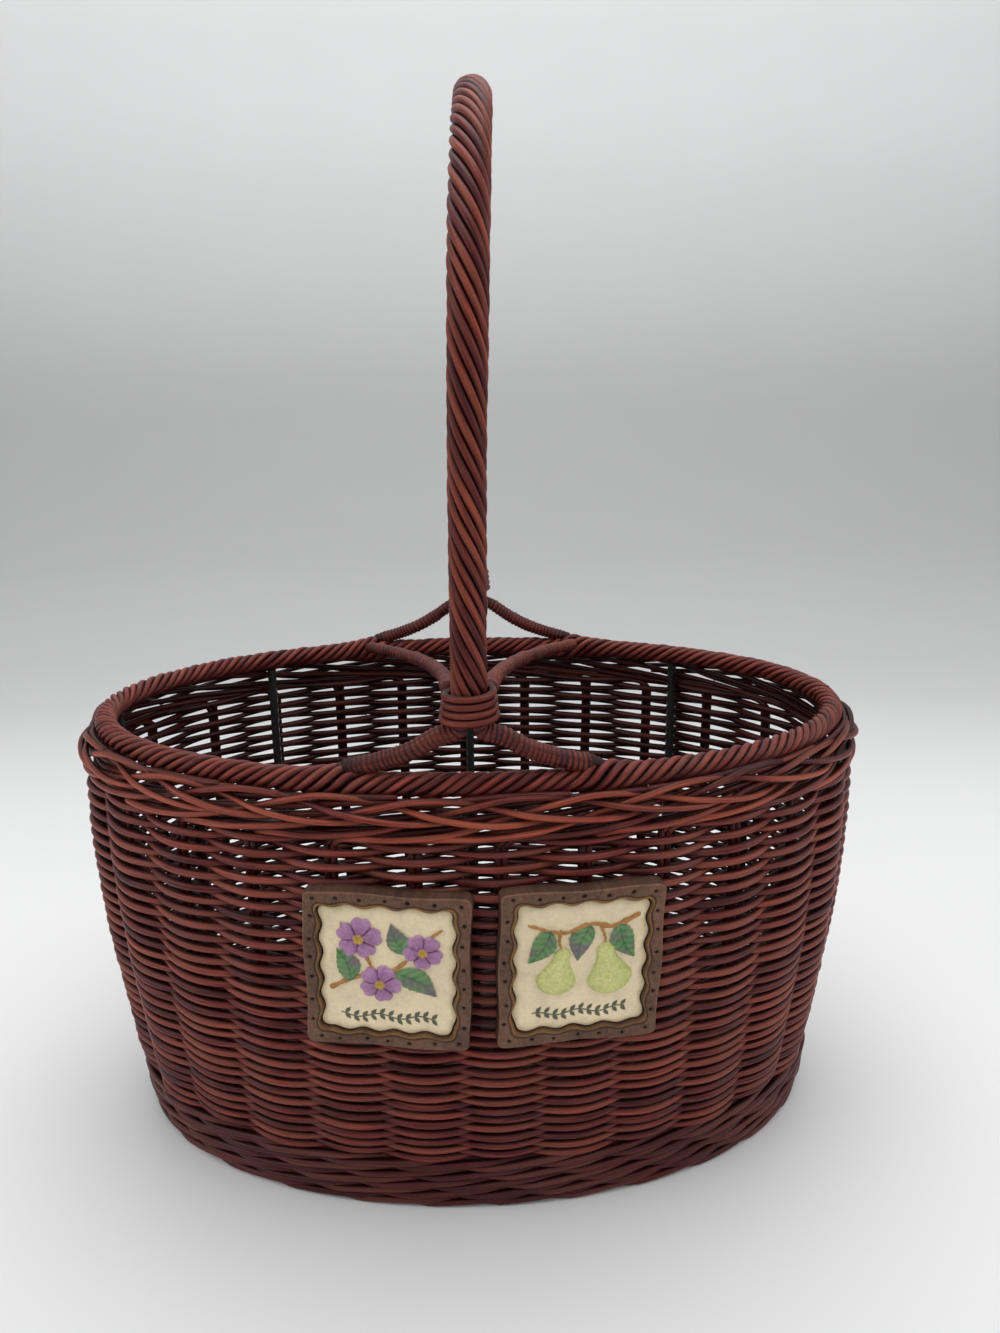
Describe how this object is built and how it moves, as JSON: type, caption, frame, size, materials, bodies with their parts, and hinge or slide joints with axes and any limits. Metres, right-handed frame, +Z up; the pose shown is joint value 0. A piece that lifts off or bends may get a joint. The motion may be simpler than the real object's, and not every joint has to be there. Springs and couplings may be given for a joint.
{
  "type": "wine bottle basket",
  "caption": "Oval wicker wine bottle basket with a rolled border, twisted rope rim, tall twisted arch handle on splayed legs and square plaques on the front.",
  "frame": {"origin": "middle of the basket's overall length and width, on the surface it stands on", "axes": "+X to the right along the oval's length, +Y to the back, +Z up; the plaques face -Y"},
  "size_m": [0.3542, 0.2368, 0.4472],
  "materials": {
    "wall_wicker": "dyed willow under a thin satin varnish",
    "foot_wicker": "darker dyed willow, satin",
    "border_wicker": "redder dyed willow, satin",
    "rope_wicker": "twisted dyed willow, satin",
    "frame_wire": "black lacquer on steel wire",
    "resin_brown": "cast resin painted brown, worn at the edge",
    "resin_cream": "cast resin painted cream, eggshell"
  },
  "bodies": {
    "root": {"foot_wale_1": "foot_wicker", "foot_wale_2": "foot_wicker", "foot_wale_3": "foot_wicker", "base_panel": "foot_wicker", "handle_core": "foot_wicker", "side_wall": "wall_wicker", "rolled_border": "border_wicker", "rim_rope_front": "rope_wicker", "rim_rope_right": "rope_wicker", "rim_rope_back": "rope_wicker", "rim_rope_left": "rope_wicker", "handle_twist": "rope_wicker", "front_collar": "rope_wicker", "back_collar": "rope_wicker", "front_leg_left": "rope_wicker", "front_leg_right": "rope_wicker", "back_leg_left": "rope_wicker", "back_leg_right": "rope_wicker", "brace_left": "rope_wicker", "brace_right": "rope_wicker", "rim_hoop": "frame_wire", "frame_upright_1": "frame_wire", "frame_upright_2": "frame_wire", "frame_upright_3": "frame_wire", "frame_upright_4": "frame_wire", "frame_upright_5": "frame_wire", "frame_upright_6": "frame_wire", "frame_upright_7": "frame_wire", "frame_upright_8": "frame_wire", "plaque_frame_left": "resin_brown", "plaque_panel_left": "resin_cream", "plaque_frame_right": "resin_brown", "plaque_panel_right": "resin_cream"}
  },
  "joints": []
}
